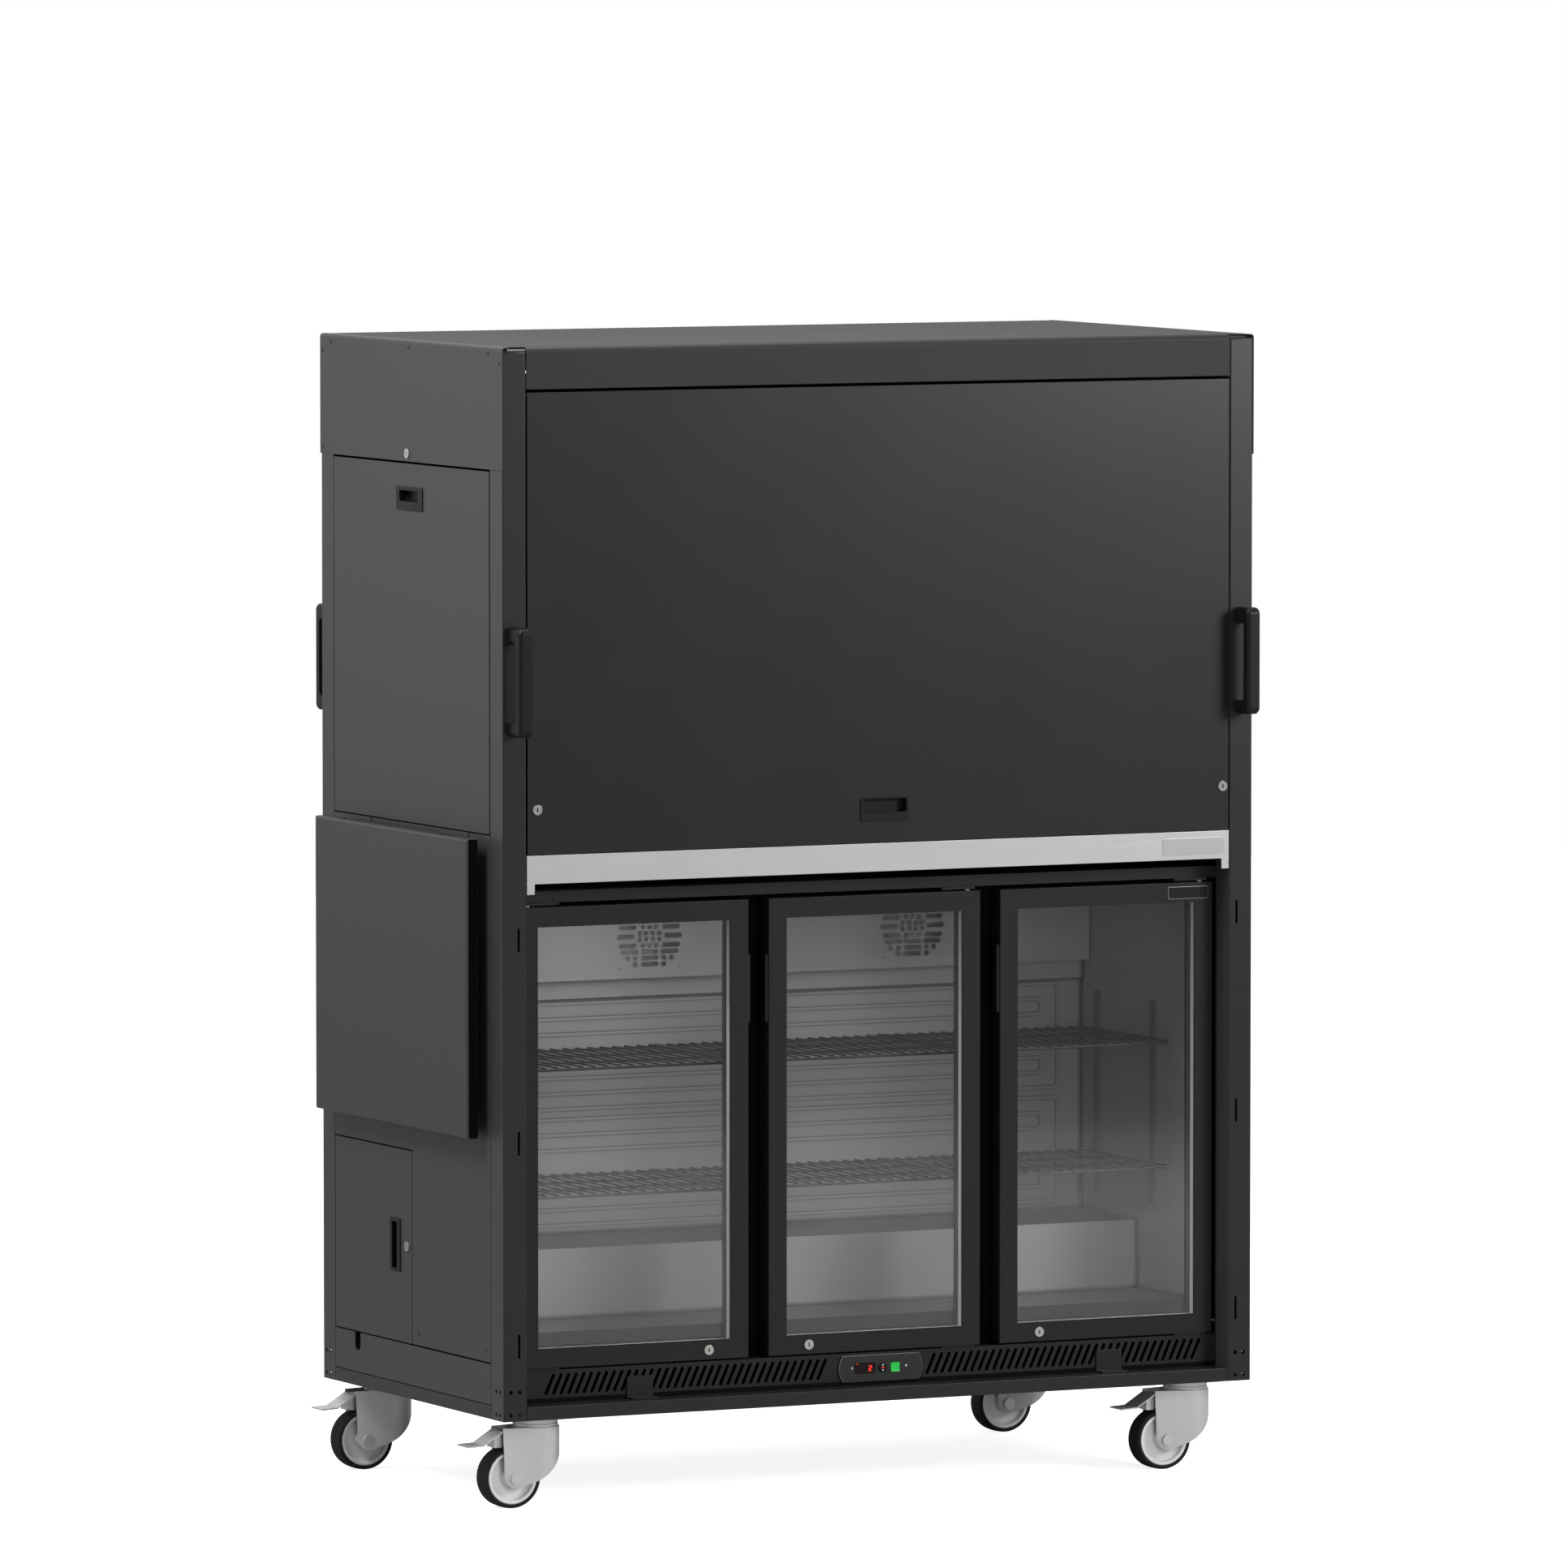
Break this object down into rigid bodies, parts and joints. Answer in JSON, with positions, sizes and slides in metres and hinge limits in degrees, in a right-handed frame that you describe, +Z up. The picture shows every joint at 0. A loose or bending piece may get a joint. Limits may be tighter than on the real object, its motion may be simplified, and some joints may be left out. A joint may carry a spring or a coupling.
{
  "type": "mobile bar cabinet with bottle cooler",
  "caption": "Tall steel bar cabinet on braked casters, with a glass-door bottle cooler below, a lift-up front flap over a worktop, a side door and a drop leaf",
  "frame": {"origin": "on the floor, under the middle of the whole station with its brake pedals", "axes": "+X to the right seen from the front, +Y to the back, +Z up"},
  "size_m": [1.486, 0.85, 1.9865],
  "materials": {
    "powder_coat": "fine satin powder coat, dark charcoal",
    "powder_coat_side": "fine satin powder coat, charcoal",
    "powder_coat_top": "fine satin powder coat, mid grey under the light",
    "leaf_coat": "satin powder coat, charcoal",
    "stainless": "brushed stainless steel, horizontal grain",
    "cooler_black": "satin black",
    "liner_aluminium": "stucco and plain bright sheet",
    "shelf_wire": "dark coated wire",
    "bright_steel": "nickel plate",
    "zinc": "bright zinc plate, slightly dull",
    "glass": "clear double glazing, dark metal spacer",
    "black_plastic": "moulded black plastic",
    "display": "dark red window",
    "rim_plastic": "light grey moulded nylon",
    "tyre_rubber": "black rubber",
    "compressor_paint": "gloss black"
  },
  "bodies": {
    "cabinet": {"corner_posts": "powder_coat", "base_frame": "powder_coat", "top_cover": "powder_coat_top", "back_panels": "powder_coat", "left_side_panels": "powder_coat_side", "right_side_panels": "powder_coat", "worktop": "stainless", "cooler_cabinet": "cooler_black", "cooler_liner": "liner_aluminium", "evaporator_cover": "liner_aluminium", "wire_shelves": "shelf_wire", "shelf_supports": "zinc", "cooler_top_rail": "cooler_black", "door_hinge_plates": "cooler_black", "grille_panel": "cooler_black", "control_bezel": "black_plastic", "control_display": "display", "retaining_clips": "cooler_black", "grab_handles": "black_plastic", "caster_plates": "zinc", "panel_hinges": "powder_coat_side", "compressor": "compressor_paint"},
    "flap": {"flap_panel": "powder_coat", "flap_pull": "black_plastic"},
    "side_door": {"side_door_panel": "powder_coat_side", "side_door_pull": "black_plastic"},
    "service_door": {"service_door_panel": "powder_coat_side", "service_door_pull": "black_plastic"},
    "leaf": {"drop_leaf": "leaf_coat"},
    "cooler_door_1": {"cooler_door_frame_1": "cooler_black", "cooler_door_glass_1": "glass"},
    "cooler_door_lock_body_1": {"cooler_door_lock_1": "bright_steel"},
    "cooler_door_2": {"cooler_door_frame_2": "cooler_black", "cooler_door_glass_2": "glass"},
    "cooler_door_lock_body_2": {"cooler_door_lock_2": "bright_steel"},
    "cooler_door_3": {"cooler_door_frame_3": "cooler_black", "cooler_door_glass_3": "glass"},
    "cooler_door_lock_body_3": {"cooler_door_lock_3": "bright_steel"},
    "flap_lock_left_body": {"flap_lock_left": "bright_steel"},
    "flap_lock_right_body": {"flap_lock_right": "bright_steel"},
    "header_lock_body": {"header_lock": "bright_steel"},
    "service_lock_body": {"service_lock": "bright_steel"},
    "rocker": {"rocker_switch": "black_plastic"},
    "button": {"control_button": "black_plastic"},
    "fork_front_left": {"caster_fork_front_left": "zinc"},
    "wheel_body_front_left": {"caster_rim_front_left": "rim_plastic", "caster_tyre_front_left": "tyre_rubber"},
    "pedal_front_left": {"brake_pedal_front_left": "black_plastic"},
    "fork_front_right": {"caster_fork_front_right": "zinc"},
    "wheel_body_front_right": {"caster_rim_front_right": "rim_plastic", "caster_tyre_front_right": "tyre_rubber"},
    "pedal_front_right": {"brake_pedal_front_right": "black_plastic"},
    "fork_back_left": {"caster_fork_back_left": "zinc"},
    "wheel_body_back_left": {"caster_rim_back_left": "rim_plastic", "caster_tyre_back_left": "tyre_rubber"},
    "pedal_back_left": {"brake_pedal_back_left": "black_plastic"},
    "fork_back_right": {"caster_fork_back_right": "zinc"},
    "wheel_body_back_right": {"caster_rim_back_right": "rim_plastic", "caster_tyre_back_right": "tyre_rubber"},
    "pedal_back_right": {"brake_pedal_back_right": "black_plastic"}
  },
  "joints": [
    {"name": "flap_hinge", "type": "hinge", "parent": "cabinet", "child": "flap", "pos_m": [0.0215, -0.3705, 1.9045], "axis": [-1, 0, 0], "range_deg": [0, 90]},
    {"name": "side_door_hinge", "type": "hinge", "parent": "cabinet", "child": "side_door", "pos_m": [-0.694, 0, 1.1625], "axis": [0, -1, 0], "range_deg": [0, 90]},
    {"name": "service_door_hinge", "type": "hinge", "parent": "cabinet", "child": "service_door", "pos_m": [-0.694, 0.3166, 0.4195], "axis": [0, 0, -1], "range_deg": [0, 100]},
    {"name": "drop_leaf_hinge", "type": "hinge", "parent": "cabinet", "child": "leaf", "pos_m": [-0.7185, 0, 1.1315], "axis": [0, 1, 0], "range_deg": [0, 90]},
    {"name": "cooler_door_hinge_1", "type": "hinge", "parent": "cabinet", "child": "cooler_door_1", "pos_m": [-0.6277, -0.32, 0.6335], "axis": [0, 0, -1], "range_deg": [0, 90]},
    {"name": "cooler_door_lock_turn_1", "type": "hinge", "parent": "cooler_door_1", "child": "cooler_door_lock_body_1", "pos_m": [-0.2902, -0.332, 0.2552], "axis": [0, 1, 0], "range_deg": [0, 90]},
    {"name": "cooler_door_hinge_2", "type": "hinge", "parent": "cabinet", "child": "cooler_door_2", "pos_m": [0.2128, -0.32, 0.6335], "axis": [0, 0, 1], "range_deg": [0, 90]},
    {"name": "cooler_door_lock_turn_2", "type": "hinge", "parent": "cooler_door_2", "child": "cooler_door_lock_body_2", "pos_m": [-0.0988, -0.332, 0.2552], "axis": [0, 1, 0], "range_deg": [0, 90]},
    {"name": "cooler_door_hinge_3", "type": "hinge", "parent": "cabinet", "child": "cooler_door_3", "pos_m": [0.6671, -0.32, 0.6335], "axis": [0, 0, 1], "range_deg": [0, 90]},
    {"name": "cooler_door_lock_turn_3", "type": "hinge", "parent": "cooler_door_3", "child": "cooler_door_lock_body_3", "pos_m": [0.3477, -0.332, 0.2552], "axis": [0, 1, 0], "range_deg": [0, 90]},
    {"name": "flap_lock_left_turn", "type": "hinge", "parent": "flap", "child": "flap_lock_left_body", "pos_m": [-0.6342, -0.375, 1.1993], "axis": [0, 1, 0], "range_deg": [0, 90]},
    {"name": "flap_lock_right_turn", "type": "hinge", "parent": "flap", "child": "flap_lock_right_body", "pos_m": [0.6835, -0.375, 1.1993], "axis": [0, 1, 0], "range_deg": [0, 90]},
    {"name": "header_lock_turn", "type": "hinge", "parent": "cabinet", "child": "header_lock_body", "pos_m": [-0.6985, 0.0099, 1.7911], "axis": [1, 0, 0], "range_deg": [0, 90]},
    {"name": "service_lock_turn", "type": "hinge", "parent": "service_door", "child": "service_lock_body", "pos_m": [-0.6985, 0.019, 0.4195], "axis": [1, 0, 0], "range_deg": [0, 90]},
    {"name": "rocker_turn", "type": "hinge", "parent": "cabinet", "child": "rocker", "pos_m": [0.0677, -0.33, 0.2085], "axis": [1, 0, 0], "range_deg": [-8, 8]},
    {"name": "button_push", "type": "slide", "parent": "cabinet", "child": "button", "axis": [0, 1, 0], "range_m": [0, 0.0015], "stiffness_N_per_m": 300},
    {"name": "swivel_front_left", "type": "hinge", "parent": "cabinet", "child": "fork_front_left", "pos_m": [-0.6065, -0.305, 0.1375], "axis": [0, 0, 1], "continuous": true},
    {"name": "wheel_front_left", "type": "hinge", "parent": "fork_front_left", "child": "wheel_body_front_left", "pos_m": [-0.6575, -0.305, 0.053], "axis": [0, 1, 0], "continuous": true},
    {"name": "pedal_turn_front_left", "type": "hinge", "parent": "fork_front_left", "child": "pedal_front_left", "pos_m": [-0.6665, -0.305, 0.1265], "axis": [0, -1, 0], "range_deg": [0, 8]},
    {"name": "swivel_front_right", "type": "hinge", "parent": "cabinet", "child": "fork_front_right", "pos_m": [0.6495, -0.305, 0.1375], "axis": [0, 0, 1], "continuous": true},
    {"name": "wheel_front_right", "type": "hinge", "parent": "fork_front_right", "child": "wheel_body_front_right", "pos_m": [0.5985, -0.305, 0.053], "axis": [0, 1, 0], "continuous": true},
    {"name": "pedal_turn_front_right", "type": "hinge", "parent": "fork_front_right", "child": "pedal_front_right", "pos_m": [0.5895, -0.305, 0.1265], "axis": [0, -1, 0], "range_deg": [0, 8]},
    {"name": "swivel_back_left", "type": "hinge", "parent": "cabinet", "child": "fork_back_left", "pos_m": [-0.6065, 0.305, 0.1375], "axis": [0, 0, 1], "continuous": true},
    {"name": "wheel_back_left", "type": "hinge", "parent": "fork_back_left", "child": "wheel_body_back_left", "pos_m": [-0.6575, 0.305, 0.053], "axis": [0, 1, 0], "continuous": true},
    {"name": "pedal_turn_back_left", "type": "hinge", "parent": "fork_back_left", "child": "pedal_back_left", "pos_m": [-0.6665, 0.305, 0.1265], "axis": [0, -1, 0], "range_deg": [0, 8]},
    {"name": "swivel_back_right", "type": "hinge", "parent": "cabinet", "child": "fork_back_right", "pos_m": [0.6495, 0.305, 0.1375], "axis": [0, 0, 1], "continuous": true},
    {"name": "wheel_back_right", "type": "hinge", "parent": "fork_back_right", "child": "wheel_body_back_right", "pos_m": [0.5985, 0.305, 0.053], "axis": [0, 1, 0], "continuous": true},
    {"name": "pedal_turn_back_right", "type": "hinge", "parent": "fork_back_right", "child": "pedal_back_right", "pos_m": [0.5895, 0.305, 0.1265], "axis": [0, -1, 0], "range_deg": [0, 8]}
  ]
}
